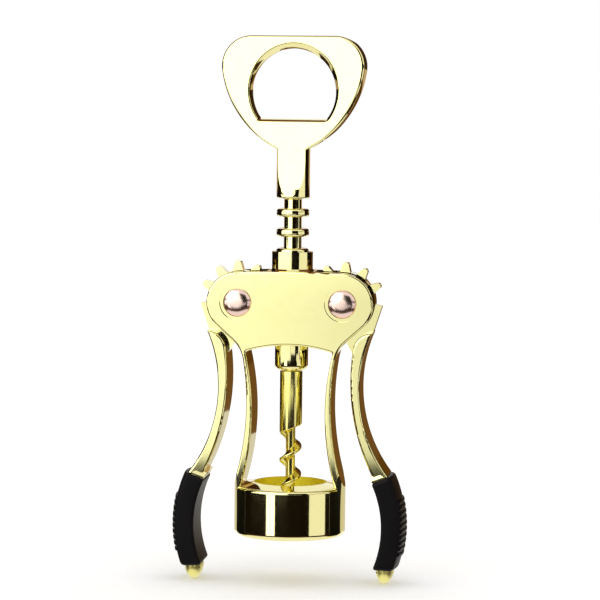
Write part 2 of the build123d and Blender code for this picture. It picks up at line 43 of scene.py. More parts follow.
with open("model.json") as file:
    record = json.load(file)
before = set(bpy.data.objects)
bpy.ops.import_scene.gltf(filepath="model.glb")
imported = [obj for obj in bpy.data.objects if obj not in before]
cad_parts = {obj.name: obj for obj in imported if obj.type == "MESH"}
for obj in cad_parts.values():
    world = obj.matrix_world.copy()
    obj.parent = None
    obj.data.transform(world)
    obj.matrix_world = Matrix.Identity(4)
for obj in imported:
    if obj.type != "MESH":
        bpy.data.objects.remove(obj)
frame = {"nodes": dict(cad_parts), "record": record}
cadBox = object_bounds()
nodes = frame["nodes"]
mm = 0.001
print("stage: frame loaded,", len(nodes), "nodes")


# sRGB hex to the linear colour that a shader wants
def hexColor(text):
    values = [int(text[i:i + 2], 16) / 255 for i in (1, 3, 5)]
    linear = [v / 12.92 if v <= 0.04045 else ((v + 0.055) / 1.055) ** 2.4 for v in values]
    return (*linear, 1.0)


# One node with its settings. An input, by name or number, takes a value or another node's output.
def addNode(tree, kind, inputs=None, **settings):
    node = tree.nodes.new(kind)
    for name, value in settings.items():
        setattr(node, name, value)
    for socket, source in (inputs or {}).items():
        if isinstance(source, bpy.types.NodeSocket):
            tree.links.new(source, node.inputs[socket])
        else:
            node.inputs[socket].default_value = source
    return node


def newMaterial(name):
    material = bpy.data.materials.new(name)
    material.use_nodes = True
    material.node_tree.nodes.clear()
    return material, material.node_tree


# Bright plating on a polished die casting. The polish leaves a slow waviness that bends reflections
# a little, and handling leaves patches that are slightly paler and duller.
def platedMetal(name, finish):
    material, tree = newMaterial(name)
    place = addNode(tree, "ShaderNodeTexCoord").outputs["Object"]
    slow = addNode(tree, "ShaderNodeTexNoise", {
        "Vector": place, "Scale": 1 / finish["wave"], "Detail": finish["waveDetail"]})
    patch = addNode(tree, "ShaderNodeTexNoise", {
        "Vector": place, "Scale": 1 / finish["patch"], "Detail": finish["patchDetail"]})
    color = addNode(tree, "ShaderNodeMix", {
        "Factor": patch.outputs["Fac"], 6: hexColor(finish["color"]),
        7: hexColor(finish["handled"])}, data_type="RGBA").outputs[2]
    roughness = addNode(tree, "ShaderNodeMapRange", {
        "Value": patch.outputs["Fac"], "To Min": finish["roughness"][0],
        "To Max": finish["roughness"][1]}).outputs["Result"]
    if "boreRadius" in finish:       # another, rougher finish inside a hole about the object's axis, whose saturated yellow is a painted reflection of light bouncing between the hole's walls
        level = addNode(tree, "ShaderNodeVectorMath", {0: place, 1: (1, 1, 0)}, operation="MULTIPLY")
        away = addNode(tree, "ShaderNodeVectorMath", {0: level.outputs[0]}, operation="LENGTH")
        inside = addNode(tree, "ShaderNodeMath", {
            0: away.outputs["Value"], 1: finish["boreRadius"]}, operation="LESS_THAN")
        color = addNode(tree, "ShaderNodeMix", {
            "Factor": inside.outputs[0], 6: color,
            7: hexColor(finish["paintedBounceColor"])}, data_type="RGBA").outputs[2]
        roughness = addNode(tree, "ShaderNodeMix", {
            "Factor": inside.outputs[0], 2: roughness,
            3: finish["boreRoughness"]}, data_type="FLOAT").outputs[0]
    bump = addNode(tree, "ShaderNodeBump", {
        "Height": slow.outputs["Fac"], "Distance": finish["waveHeight"]})
    shader = addNode(tree, "ShaderNodeBsdfPrincipled", {
        "Base Color": color, "Metallic": 1.0, "Roughness": roughness, "Normal": bump.outputs["Normal"]})
    addNode(tree, "ShaderNodeOutputMaterial", {"Surface": shader.outputs["BSDF"]})
    return material


gold = {
    "color": "#f1e7a0", "handled": "#f4ecae",
    "roughness": (0.045, 0.085),
    "wave": 9 * mm, "waveDetail": 1.0, "waveHeight": 0.002 * mm,
    "patch": 3 * mm, "patchDetail": 4.0,
}
# Inside the bell's hole a saturated yellow is a painted reflection: it stands in for light bouncing from wall
# to wall
bellFinish = gold | {"boreRadius": 12.2 * mm, "paintedBounceColor": "#fff04a", "boreRoughness": 0.5}
wormFinish = gold | {"color": "#e9db7c", "handled": "#efe594", "roughness": (0.12, 0.19), "wave": 5 * mm}
rivetFinish = gold | {"color": "#efcdbd", "handled": "#f2d6ca", "roughness": (0.17, 0.22), "wave": 4 * mm}
capFinish = gold | {"color": "#eee384", "handled": "#f2e995", "roughness": (0.34, 0.42), "patch": 1.5 * mm}

goldPlate = platedMetal("goldPlatedCasting", gold)             # pale gold mirror with crisp dark bands
bellGold = platedMetal("goldPlatedBell", bellFinish)           # the same, rougher in its hole, where a saturated yellow paints the reflections bouncing between the walls
wormGold = platedMetal("goldPlatedSteel", wormFinish)          # deeper gold with softer bands
rivetCopper = platedMetal("copperPlatedRivet", rivetFinish)    # pink metal whose highlight has a blurred edge
capGold = platedMetal("satinGoldCap", capFinish)               # satin yellow with a broad glow and no mirror

# Moulded ABS from a finely spark-eroded tool: near black, with a soft sheen broken by a grain
plastic = {
    "color": "#0a0909", "handled": "#110d0e",
    "grain": 0.3 * mm,               # real grain is about 0.05 mm, drawn coarser so that it shows
    "grainDetail": 2.0, "grainHeight": 0.012 * mm,
    "cloud": 8 * mm, "cloudDetail": 3.0,
    "roughness": 0.4, "specular": 0.1,
}
gripPlastic, tree = newMaterial("mouldedBlackAbs")
place = addNode(tree, "ShaderNodeTexCoord").outputs["Object"]
grain = addNode(tree, "ShaderNodeTexNoise", {
    "Vector": place, "Scale": 1 / plastic["grain"], "Detail": plastic["grainDetail"]})
cloud = addNode(tree, "ShaderNodeTexNoise", {
    "Vector": place, "Scale": 1 / plastic["cloud"], "Detail": plastic["cloudDetail"]})
shade = addNode(tree, "ShaderNodeMix", {
    "Factor": cloud.outputs["Fac"], 6: hexColor(plastic["color"]),
    7: hexColor(plastic["handled"])}, data_type="RGBA")
bump = addNode(tree, "ShaderNodeBump", {
    "Height": grain.outputs["Fac"], "Distance": plastic["grainHeight"]})
shader = addNode(tree, "ShaderNodeBsdfPrincipled", {
    "Base Color": shade.outputs[2], "Roughness": plastic["roughness"],
    "Specular IOR Level": plastic["specular"], "Normal": bump.outputs["Normal"]})
addNode(tree, "ShaderNodeOutputMaterial", {"Surface": shader.outputs["BSDF"]})

finishes = {
    "gold_plate": goldPlate, "grip_plastic": gripPlastic,
    "cap_gold": capGold, "rivet_copper": rivetCopper,
}
slots = {part["node"]: part["material_slot"] for part in frame["record"]["subparts"]}
for name, node in nodes.items():
    node.data.materials.clear()
    node.data.materials.append(bellGold if name == "bell" else finishes[slots[name]])
print("stage: materials made")


def newObject(name, data):
    made = bpy.data.objects.new(name, data)
    bpy.context.scene.collection.objects.link(made)
    return made


shading = {
    "merge": 0.001 * mm,
    "sharp": math.radians(38),       # edges from this angle on stay sharp
    "level": 0.9999,                 # a face counts as flat from this cosine on
}


# A finished piece at the origin: doubles merged, faces outwards, smooth but for sharp edges.
# Faces square to the flat direction keep a sharp border, so that they shade flat.
def addPiece(name, shape, material, body, replaced, flat=None):
    bmesh.ops.remove_doubles(shape, verts=shape.verts, dist=shading["merge"])
    bmesh.ops.recalc_face_normals(shape, faces=shape.faces)
    for face in shape.faces:
        face.smooth = True
        face.material_index = 0
    for edge in shape.edges:
        edge.smooth = len(edge.link_faces) == 2 and edge.calc_face_angle() < shading["sharp"]
        if flat and edge.smooth:
            first, second = [abs(face.normal.dot(flat)) > shading["level"] for face in edge.link_faces]
            edge.smooth = first == second
    mesh = bpy.data.meshes.new(name)
    shape.to_mesh(mesh)
    shape.free()
    mesh.materials.clear()
    mesh.materials.append(material)
    piece = newObject(name, mesh)
    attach(piece, body)
    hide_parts(*replaced)


# The same shape on the left side
def mirrored(shape):
    other = shape.copy()
    bmesh.ops.scale(other, vec=(-1, 1, 1), verts=other.verts)
    return other


def joined(*shapes):
    whole = shapes[0]
    for shape in shapes[1:]:
        mesh = bpy.data.meshes.new("joining")
        shape.to_mesh(mesh)
        shape.free()
        whole.from_mesh(mesh)
        bpy.data.meshes.remove(mesh)
    return whole


# Closed outline with its corners rounded, each by its own radius
def softCorners(points, radii, steps=5):
    outline = []
    for index, (point, radius) in enumerate(zip(points, radii)):
        corner = Vector(point)
        back = (Vector(points[index - 1]) - corner).normalized()
        ahead = (Vector(points[(index + 1) % len(points)]) - corner).normalized()
        if not radius:
            outline.append(tuple(corner))
            continue
        half = back.angle(ahead) / 2
        centre = corner + (back + ahead).normalized() * radius / math.sin(half)
        start = (corner + back * radius / math.tan(half) - centre) / radius
        end = (corner + ahead * radius / math.tan(half) - centre) / radius
        for step in range(steps + 1):
            outline.append(tuple(centre + start.lerp(end, step / steps).normalized() * radius))
    return outline


# Outward direction at each point of an outline that runs anticlockwise
def outwards(points, closed):
    last = len(points) - 1
    ways = []
    for index in range(len(points)):
        before = points[index - 1] if closed or index > 0 else points[0]
        after = points[(index + 1) % len(points)] if closed or index < last else points[last]
        run = Vector(after) - Vector(before)
        ways.append(Vector((run.y, -run.x)).normalized())
    return ways


# How far a rounding draws a surface in, at a distance from its end
def drawnIn(rounding, fromEnd):
    return rounding - math.sqrt(max(0, rounding ** 2 - max(0, rounding - fromEnd) ** 2))


# Faces between each ring of points and the next
def bridged(shape, rings, closed=True):
    for low, high in zip(rings, rings[1:]):
        for i in range(len(low) if closed else len(low) - 1):
            j = (i + 1) % len(low)
            shape.faces.new((low[i], low[j], high[j], high[i]))


# Turned shape: an outline of (radius, height) spun about Z, joined to its start when loop is true
def turned(outline, steps, loop=True):
    shape = bmesh.new()
    rings = []
    for radius, height in outline:
        count = steps if radius > shading["merge"] else 1      # one point on the axis
        turn = 2 * math.pi / count
        rings.append([shape.verts.new((radius * math.cos(turn * i), radius * math.sin(turn * i), height))
                      for i in range(count)])
    following = rings[1:] + rings[:1] if loop else rings[1:]
    for low, high in zip(rings, following):
        for i in range(steps):
            j = (i + 1) % steps
            corners = [low[i % len(low)], low[j % len(low)], high[j % len(high)], high[i % len(high)]]
            shape.faces.new(dict.fromkeys(corners))
    return shape


# Empty geometry tree with named inputs, and its group input's outputs
def newTree(name, inputs):
    tree = bpy.data.node_groups.new(name, "GeometryNodeTree")
    tree.interface.new_socket("Geometry", in_out="INPUT", socket_type="NodeSocketGeometry")
    for label, kind in inputs.items():
        tree.interface.new_socket(label, in_out="INPUT", socket_type="NodeSocket" + kind)
    tree.interface.new_socket("Geometry", in_out="OUTPUT", socket_type="NodeSocketGeometry")
    return tree, addNode(tree, "NodeGroupInput").outputs


# Last nodes of each tree
def closeTree(tree, geometry, material):
    real = addNode(tree, "GeometryNodeRealizeInstances", {"Geometry": geometry})
    dressed = addNode(tree, "GeometryNodeSetMaterial", {"Geometry": real.outputs[0], "Material": material})
    addNode(tree, "NodeGroupOutput", {"Geometry": dressed.outputs[0]})


# Runs a tree on a shape and gives back the result as a plain shape
def grown(tree, values, shape):
    mesh = bpy.data.meshes.new(tree.name)
    shape.to_mesh(mesh)
    shape.free()
    holder = bpy.data.objects.new(tree.name, mesh)
    modifier = holder.modifiers.new(tree.name, "NODES")
    modifier.node_group = tree
    for item in tree.interface.items_tree:
        if item.in_out == "INPUT" and item.name in values:
            modifier[item.identifier] = values[item.name]
    bpy.context.scene.collection.objects.link(holder)      # only now, with its inputs set
    bpy.context.view_layer.update()
    evaluated = holder.evaluated_get(bpy.context.evaluated_depsgraph_get())
    result = bpy.data.meshes.new_from_object(evaluated)
    holder.modifiers.remove(modifier)
    bpy.data.objects.remove(holder)
    made = bmesh.new()
    made.from_mesh(result)
    bpy.data.meshes.remove(result)
    return made


# Copies of a shape in a row: rack rings up the axis, rivets from pivot to pivot
rowTree, given = newTree("rowOfCopies", {
    "Count": "Int", "First": "Vector", "Step": "Vector", "Material": "Material"})
line = addNode(rowTree, "GeometryNodeMeshLine", {
    "Count": given["Count"], "Start Location": given["First"], "Offset": given["Step"]}, mode="OFFSET")
copies = addNode(rowTree, "GeometryNodeInstanceOnPoints", {
    "Points": line.outputs[0], "Instance": given["Geometry"]})
closeTree(rowTree, copies.outputs[0], given["Material"])


# Ring rack: six rings round a tube, with the boss at its foot
rack = {
    "rings": 6, "pitch": 6.54498 * mm, "lowest": 74.4775 * mm,
    "ringRadius": 5.4 * mm, "ringThickness": 2.75 * mm, "ringRound": 0.95 * mm,
    "ringRoot": 2.55 * mm,           # the rings start inside the tube's wall
    "coreRadius": 2.95 * mm, "boreRadius": 2.08 * mm, "top": 111.7 * mm,
    "bossRadius": 5.55 * mm, "bossTop": 69.3075 * mm, "bossFoot": 54.9075 * mm,
    "bossTopRound": 0.7 * mm, "bossFootRound": 1.9 * mm, "neckRound": 0.3 * mm, "rimRound": 0.2 * mm,
    "steps": 96,
}
half = rack["ringThickness"] / 2
ringOutline = softCorners(
    [(rack["ringRoot"], -half), (rack["ringRadius"], -half),
     (rack["ringRadius"], half), (rack["ringRoot"], half)],
    [0, rack["ringRound"], rack["ringRound"], 0])
rings = grown(rowTree, {
    "Count": rack["rings"], "First": (0, 0, rack["lowest"]), "Step": (0, 0, rack["pitch"]),
    "Material": goldPlate}, turned(ringOutline, rack["steps"]))
tubeOutline = softCorners(
    [(rack["boreRadius"], rack["bossFoot"]), (rack["bossRadius"], rack["bossFoot"]),
     (rack["bossRadius"], rack["bossTop"]), (rack["coreRadius"], rack["bossTop"]),
     (rack["coreRadius"], rack["top"]), (rack["boreRadius"], rack["top"])],
    [rack["rimRound"], rack["bossFootRound"], rack["bossTopRound"], rack["neckRound"], rack["rimRound"], 0])
addPiece("ringRack", joined(turned(tubeOutline, rack["steps"]), rings), goldPlate, "rack",
         ["rack_sleeve"])
print("stage: ring rack made")


# Worm: a core with its shank and spindle, and a right-hand ridge swept along a helix
worm = {
    "turn": math.radians(-6),        # of worm and handle together
    "tip": 10.9 * mm, "tipLength": 3.4 * mm, "tipRound": 2.5 * mm, "coreRadius": 1.6 * mm,
    "shankRadius": 3.75 * mm, "shankTop": 54.7075 * mm, "shankRound": 0.3 * mm,
    "shankFoot": 35.2 * mm, "footRound": 0.5 * mm, "rootRound": 0.3 * mm,
    "footSlant": 0.38, "slantReach": 1.2 * mm,       # the groove runs out into the shank on a slant
    "spindleRadius": 2.0 * mm, "spindleTop": 120.9 * mm, "spindleRound": 0.3 * mm,
    "pitch": 9.3 * mm, "crossing": 29.05 * mm,       # the ridge crosses +X here, before the turn
    "reach": 2.4 * mm, "foot": 3.1 * mm, "crest": 0.8 * mm, "crestRound": 0.35 * mm,
    "standOut": 0.37,                # share of the reach from the core's surface to the section's middle
    "ridgeStart": 0.8 * mm, "ridgeGrowth": 4.2 * mm, "ridgeEnd": 39.5 * mm, "startSize": 0.02,
    "steps": 64, "ridgeSteps": 260, "crestSteps": 4,
}
ridgeTree, given = newTree("helixRidge", {
    "Points": "Int", "Low": "Float", "High": "Float", "Pitch": "Float", "Crossing": "Float", "Turn": "Float",
    "Core radius": "Float", "Tip": "Float", "Tip length": "Float", "Start": "Float", "Growth": "Float",
    "Foot": "Float", "Crest": "Float", "Reach": "Float", "Round": "Float", "Material": "Material"})
# Each sum is made of the inputs and of earlier sums: name, operation, first and second term
sums = dict(given.items())
sums["Index"] = addNode(ridgeTree, "GeometryNodeInputIndex").outputs[0]
for result, operation, first, second in (
        ("Share", "DIVIDE", "Index", "Points"),
        ("Span", "SUBTRACT", "High", "Low"),
        ("Climb", "MULTIPLY", "Share", "Span"),
        ("Height", "ADD", "Climb", "Low"),
        ("Above", "SUBTRACT", "Height", "Crossing"),
        ("Turns", "DIVIDE", "Above", "Pitch"),
        ("Swing", "MULTIPLY", "Turns", 2 * math.pi),
        ("Angle", "ADD", "Swing", "Turn"),
        ("Over tip", "SUBTRACT", "Height", "Tip"),
        ("Tip share", "DIVIDE", "Over tip", "Tip length"),
        ("Taper", "MINIMUM", "Tip share", 1.0),          # the core's cone, then its cylinder
        ("Radius", "MULTIPLY", "Core radius", "Taper"),
        ("Cosine", "COSINE", "Angle", 0.0),
        ("Sine", "SINE", "Angle", 0.0),
        ("X", "MULTIPLY", "Radius", "Cosine"),
        ("Y", "MULTIPLY", "Radius", "Sine"),
        ("Past start", "SUBTRACT", "Over tip", "Start"),
        ("Grown", "DIVIDE", "Past start", "Growth"),
        ("Stand out", "MULTIPLY", "Reach", worm["standOut"])):
    sums[result] = addNode(ridgeTree, "ShaderNodeMath", {
        0: sums.get(first, first), 1: sums.get(second, second)}, operation=operation).outputs[0]
spot = addNode(ridgeTree, "ShaderNodeCombineXYZ", {0: sums["X"], 1: sums["Y"], 2: sums["Height"]})
line = addNode(ridgeTree, "GeometryNodeMeshLine", {"Count": given["Points"]}, mode="OFFSET")
placed = addNode(ridgeTree, "GeometryNodeSetPosition", {
    "Geometry": line.outputs[0], "Position": spot.outputs[0]})
path = addNode(ridgeTree, "GeometryNodeMeshToCurve", {"Mesh": placed.outputs[0]})
upright = addNode(ridgeTree, "GeometryNodeSetCurveNormal", {"Curve": path.outputs[0]}, mode="Z_UP")
size = addNode(ridgeTree, "ShaderNodeMapRange", {
    "Value": sums["Grown"], "To Min": worm["startSize"]}, interpolation_type="SMOOTHSTEP")
sized = addNode(ridgeTree, "GeometryNodeSetCurveRadius", {
    "Curve": upright.outputs[0], "Radius": size.outputs["Result"]})
section = addNode(ridgeTree, "GeometryNodeCurvePrimitiveQuadrilateral", {
    "Bottom Width": given["Foot"], "Top Width": given["Crest"], "Height": given["Reach"],
    "Offset": 0.0}, mode="TRAPEZOID")
rounded = addNode(ridgeTree, "GeometryNodeFilletCurve", {
    "Curve": section.outputs[0], "Count": worm["crestSteps"], "Radius": given["Round"],
    "Limit Radius": True}, mode="POLY")
shift = addNode(ridgeTree, "ShaderNodeCombineXYZ", {0: sums["Stand out"]})
outward = addNode(ridgeTree, "GeometryNodeTransform", {
    "Geometry": rounded.outputs[0], "Translation": shift.outputs[0],
    "Rotation": (0, 0, math.radians(-90))})              # the crest points away from the core
swept = addNode(ridgeTree, "GeometryNodeCurveToMesh", {
    "Curve": sized.outputs[0], "Profile Curve": outward.outputs[0], "Fill Caps": True,
    "Scale": addNode(ridgeTree, "GeometryNodeInputRadius").outputs[0]})
closeTree(ridgeTree, swept.outputs[0], given["Material"])
ridge = grown(ridgeTree, {
    "Points": worm["ridgeSteps"], "Low": worm["tip"] + worm["ridgeStart"], "High": worm["ridgeEnd"],
    "Pitch": worm["pitch"], "Crossing": worm["crossing"], "Turn": worm["turn"],
    "Core radius": worm["coreRadius"], "Tip": worm["tip"], "Tip length": worm["tipLength"],
    "Start": worm["ridgeStart"], "Growth": worm["ridgeGrowth"], "Foot": worm["foot"],
    "Crest": worm["crest"], "Reach": worm["reach"], "Round": worm["crestRound"],
    "Material": wormGold}, bmesh.new())
shankOutline = softCorners(
    [(0, worm["tip"]), (worm["coreRadius"], worm["tip"] + worm["tipLength"]),
     (worm["coreRadius"], worm["shankFoot"]), (worm["shankRadius"], worm["shankFoot"]),
     (worm["shankRadius"], worm["shankTop"]), (worm["spindleRadius"], worm["shankTop"]),
     (worm["spindleRadius"], worm["spindleTop"]), (0, worm["spindleTop"])],
    [0, worm["tipRound"], worm["rootRound"], worm["footRound"], worm["shankRound"], 0,
     worm["spindleRound"], 0])
shank = turned(shankOutline, worm["steps"], loop=False)
for vert in shank.verts:
    if abs(vert.co.z - worm["shankFoot"]) < worm["slantReach"]:
        vert.co.z += worm["footSlant"] * vert.co.x
addPiece("wormScrew", joined(shank, ridge), wormGold, "screw", ["worm_spindle"])
print("stage: worm made")


# Handle: a plate with soft edges and a D hole, on the CAD solid's own stem
handle = {
    "turn": worm["turn"], "half": 3.0 * mm, "cut": 131.2 * mm,
    "top": 165.5 * mm, "halfWidth": 24.1 * mm, "cornerRadius": 10.1 * mm, "cornerSteps": 24,
    "sideRadius": 33.5 * mm, "lean": math.radians(7.7), "sideSteps": 40,
    "edgeRound": 0.95 * mm, "edgeSteps": 8,
    "neckRound": 0.5 * mm, "roundGrowth": 7 * mm,    # at the cut, and how far over it the edge gets rounder
}
# The hole flares towards both faces, most at its top and least on its left side
capHole = {
    "height": 147.0 * mm, "radius": 14.3 * mm, "lip": 138.1 * mm, "corner": 1.0 * mm, "steps": 96,
    "flareSide": 0.65 * mm, "flareShift": 0.4 * mm, "flareTop": 0.9 * mm,
    "flareLip": 0.85 * mm, "lipReach": 0.2 * mm,     # on the straight lip, and up to this height over it
    "flareDepth": 2.0 * mm,
    "edge": ((0.45, 0), (0.27, 0.03), (0.1, 0.11), (-0.02, 0.24), (-0.1, 0.42)),   # past flare, depth; mm
}


# Outline of the plate from the cut on the right, over the top, to the cut on the left
def plateOutline():
    side, corner = handle["sideRadius"], handle["cornerRadius"]
    cornerX = handle["halfWidth"] - corner
    cornerZ = handle["top"] - corner
    sideX = cornerX - (side - corner) * math.cos(handle["lean"])
    sideZ = cornerZ + (side - corner) * math.sin(handle["lean"])
    low = math.asin((handle["cut"] - sideZ) / side)
    right = []
    for step in range(handle["sideSteps"] + 1):
        turn = low + (-handle["lean"] - low) * step / handle["sideSteps"]
        right.append((sideX + side * math.cos(turn), sideZ + side * math.sin(turn)))
    for step in range(1, handle["cornerSteps"] + 1):
        turn = -handle["lean"] + (math.pi / 2 + handle["lean"]) * step / handle["cornerSteps"]
        right.append((cornerX + corner * math.cos(turn), cornerZ + corner * math.sin(turn)))
    return right + [(-x, z) for x, z in reversed(right)]


def plateRings(shape):
    points = plateOutline()
    ways = outwards(points, False)
    rings = []
    for side in (-1, 1):
        steps = range(handle["edgeSteps"] + 1)
        for step in steps if side < 0 else reversed(steps):
            turn = math.pi / 2 * step / handle["edgeSteps"]
            ring = []
            for index, (point, way) in enumerate(zip(points, ways)):
                share = min(1, (point[1] - handle["cut"]) / handle["roundGrowth"])
                rounding = handle["neckRound"] + (handle["edgeRound"] - handle["neckRound"]) * share
                place = Vector(point) - way * rounding * (1 - math.sin(turn))
                if index in (0, len(points) - 1):    # stays in the cut, where the stem goes on
                    along = Vector((-way.y, way.x))
                    place += along * (handle["cut"] - place.y) / along.y
                depth = handle["half"] - rounding * (1 - math.cos(turn))
                ring.append(shape.verts.new((place.x, side * depth, place.y)))
            rings.append(ring)
    return rings


def holeRings(shape):
    radius, middle = capHole["radius"], capHole["height"]
    low = math.asin((capHole["lip"] - middle) / radius)
    points = []
    for step in range(capHole["steps"] + 1):
        turn = low + (math.pi - 2 * low) * step / capHole["steps"]
        points.append((radius * math.cos(turn), middle + radius * math.sin(turn)))
    points = softCorners(points, [capHole["corner"]] + [0] * (capHole["steps"] - 1) + [capHole["corner"]])
    ways = outwards(points, True)
    levels = [(1, past * mm, depth * mm) for past, depth in capHole["edge"]] + [(0, 0, capHole["flareDepth"])]
    rings = []
    for side in (-1, 1):
        for share, past, depth in levels if side < 0 else reversed(levels):
            ring = []
            for point, way in zip(points, ways):
                above = max(0, (point[1] - middle) / radius)
                flare = (capHole["flareSide"] + capHole["flareShift"] * point[0] / radius
                         + capHole["flareTop"] * above)
                if point[1] < capHole["lip"] + capHole["lipReach"]:
                    flare = capHole["flareLip"]
                place = Vector(point) + way * (share * flare + past)
                ring.append(shape.verts.new((place.x, side * (handle["half"] - depth), place.y)))
            rings.append(ring)
    return rings


plate = bmesh.new()
outer = plateRings(plate)
hole = holeRings(plate)
bridged(plate, outer, closed=False)
bridged(plate, hole)
plate.faces.new([ring[0] for ring in outer] + [ring[-1] for ring in reversed(outer)])
for end in (0, -1):                  # the two flat faces, from outline to hole
    border = []
    for ring in (outer[end], hole[end]):
        border += [plate.edges.get((ring[i - 1], ring[i])) for i in range(len(ring))]
    bmesh.ops.triangle_fill(plate, edges=border, use_beauty=True)
bmesh.ops.rotate(plate, cent=(0, 0, 0), matrix=Matrix.Rotation(handle["turn"], 3, "Z"), verts=plate.verts)
stem = bmesh.new()
stem.from_mesh(nodes["opener_head"].data)
bmesh.ops.remove_doubles(stem, verts=stem.verts, dist=shading["merge"])
bmesh.ops.bisect_plane(stem, geom=stem.verts[:] + stem.edges[:] + stem.faces[:],
                       plane_co=(0, 0, handle["cut"]), plane_no=(0, 0, 1), clear_outer=True)
bmesh.ops.holes_fill(stem, edges=[edge for edge in stem.edges if edge.is_boundary])
faceWay = Vector((math.sin(handle["turn"]), -math.cos(handle["turn"]), 0))
addPiece("openerHandle", joined(plate, stem), goldPlate, "screw", ["opener_head"], faceWay)
print("stage: handle made")


# Rivets: a low dome that steepens to its edge, on a tube in front and on a pin behind
rivet = {
    "pivotX": 17.4 * mm, "pivotZ": 77.5 * mm, "seat": 7.1 * mm,
    "headRadius": 4.65 * mm, "lip": 0.55 * mm,
    "fall": 0.005 / mm, "edgeFall": 0.0026 / mm ** 3,    # the dome's drop by radius squared and fourth power
    "tubeRadius": 2.5 * mm, "tubeEnd": -6.8 * mm, "tubeFloor": 5.5 * mm,
    "pinRadius": 1.5 * mm, "pinEnd": -5.2 * mm,
    "steps": 72, "domeSteps": 14,
}


# Height that the dome has lost at a radius
def domeDrop(radius):
    return rivet["fall"] * radius ** 2 + rivet["edgeFall"] * radius ** 4


# Turned about Z with the head up, then tipped over so that the head faces -Y or +Y
def rivetPair(name, shank, facing, replaced):
    crown = rivet["seat"] + rivet["lip"] + domeDrop(rivet["headRadius"])
    dome = []
    for step in range(rivet["domeSteps"] + 1):
        radius = rivet["headRadius"] * math.sin(math.pi / 2 * step / rivet["domeSteps"])
        dome.append((radius, crown - domeDrop(radius)))
    outline = dome + [(rivet["headRadius"], rivet["seat"])] + shank
    shape = turned(outline, rivet["steps"], loop=False)
    bmesh.ops.rotate(shape, cent=(0, 0, 0), matrix=Matrix.Rotation(math.radians(90 * facing), 3, "X"),
                     verts=shape.verts)
    pair = grown(rowTree, {
        "Count": 2, "First": (-rivet["pivotX"], 0, rivet["pivotZ"]), "Step": (2 * rivet["pivotX"], 0, 0),
        "Material": rivetCopper}, shape)
    addPiece(name, pair, rivetCopper, "bell_frame", replaced)


tube = [(rivet["tubeRadius"], rivet["seat"]), (rivet["tubeRadius"], rivet["tubeEnd"]),
        (rivet["pinRadius"], rivet["tubeEnd"]), (rivet["pinRadius"], rivet["tubeFloor"]),
        (0, rivet["tubeFloor"])]
pin = [(rivet["pinRadius"], rivet["seat"]), (rivet["pinRadius"], rivet["pinEnd"]), (0, rivet["pinEnd"])]
rivetPair("frontRivets", tube, 1, ["rivet_front_left", "rivet_front_right"])
rivetPair("backRivets", pin, -1, ["rivet_back_left", "rivet_back_right"])
print("stage: rivets made")


# Grips: a bent bar with a crowned outer face, and ribs let across that face
grip = {
    "bendX": -3.9 * mm, "bendZ": 3.5 * mm, "innerRadius": 35.1 * mm, "outerRadius": 41.3 * mm,
    "crown": 1.3 * mm, "halfDepth": 9.2 * mm,
    "topOuter": 17.3 * mm, "topInner": 15.1 * mm, "footOuter": -13.9 * mm, "footInner": -13.6 * mm,
    "edgeRound": 0.9 * mm, "endRound": 1.1 * mm,
    "rows": 60, "columns": 10, "roundSteps": 6,
}
ribs = {
    "count": 10, "pitch": 1.95 * mm, "middle": 0.2 * mm, "width": 1.2 * mm, "proud": 0.5 * mm,
    "sink": 0.6 * mm, "halfLength": 8.2 * mm, "round": 0.3 * mm, "roundSteps": 4, "steps": 18,
}


# Outer face's radius at a place across the grip
def crownRadius(y):
    return grip["outerRadius"] + grip["crown"] * (1 - (y / grip["halfDepth"]) ** 2)


# Angle about the bend line of an end, at a radius: the ends are straight but slanted
def endAngle(outerHeight, innerHeight, radius):
    along = (radius - grip["innerRadius"]) / (grip["outerRadius"] - grip["innerRadius"])
    start = math.asin(innerHeight / grip["innerRadius"])
    end = math.asin(outerHeight / grip["outerRadius"])
    return start + (end - start) * along


def gripSection():
    depth, columns, edge = grip["halfDepth"], grip["columns"], grip["edgeRound"]
    across = [depth * (2 * i / columns - 1) for i in range(columns + 1)]
    points = [(grip["innerRadius"], depth), (grip["innerRadius"], -depth)]
    points += [(crownRadius(y), y) for y in across]
    return softCorners(points, [edge] * 3 + [0] * (columns - 1) + [edge], grip["roundSteps"])


def gripShape():
    section = gripSection()
    ways = outwards(section, True)
    rounding, steps = grip["endRound"], grip["roundSteps"]
    length = grip["topOuter"] - grip["footOuter"]
    ends = [rounding * (1 - math.cos(math.pi / 2 * i / steps)) / length for i in range(steps + 1)]
    middle = [ends[-1] + (1 - 2 * ends[-1]) * i / grip["rows"] for i in range(1, grip["rows"])]
    shape = bmesh.new()
    rings = []
    for place in ends + middle + [1 - end for end in reversed(ends)]:
        inset = drawnIn(rounding, min(place, 1 - place) * length)
        ring = []
        for point, way in zip(section, ways):
            radius, y = Vector(point) - way * inset
            low = endAngle(grip["footOuter"], grip["footInner"], radius)
            high = endAngle(grip["topOuter"], grip["topInner"], radius)
            turn = low + (high - low) * place
            ring.append(shape.verts.new((
                grip["bendX"] + radius * math.cos(turn), y, grip["bendZ"] + radius * math.sin(turn))))
        rings.append(ring)
    bridged(shape, rings)
    shape.faces.new(rings[0])
    shape.faces.new(rings[-1])
    return shape


# One rib at zero angle: a rounded block whose top follows the crown
def ribShape():
    shape = bmesh.new()
    rings = []
    for step in range(ribs["steps"] + 1):
        y = ribs["halfLength"] * math.sin(math.pi / 2 * (2 * step / ribs["steps"] - 1))
        inset = drawnIn(ribs["round"], ribs["halfLength"] - abs(y))
        top = crownRadius(y) + ribs["proud"] - inset
        low = crownRadius(y) - ribs["sink"]
        wide = ribs["width"] / 2 - inset
        outline = softCorners([(low, -wide), (top, -wide), (top, wide), (low, wide)],
                              [0, ribs["round"], ribs["round"], 0], ribs["roundSteps"])
        rings.append([shape.verts.new((x, y, z)) for x, z in outline])
    bridged(shape, rings)
    shape.faces.new(rings[0])
    shape.faces.new(rings[-1])
    return shape


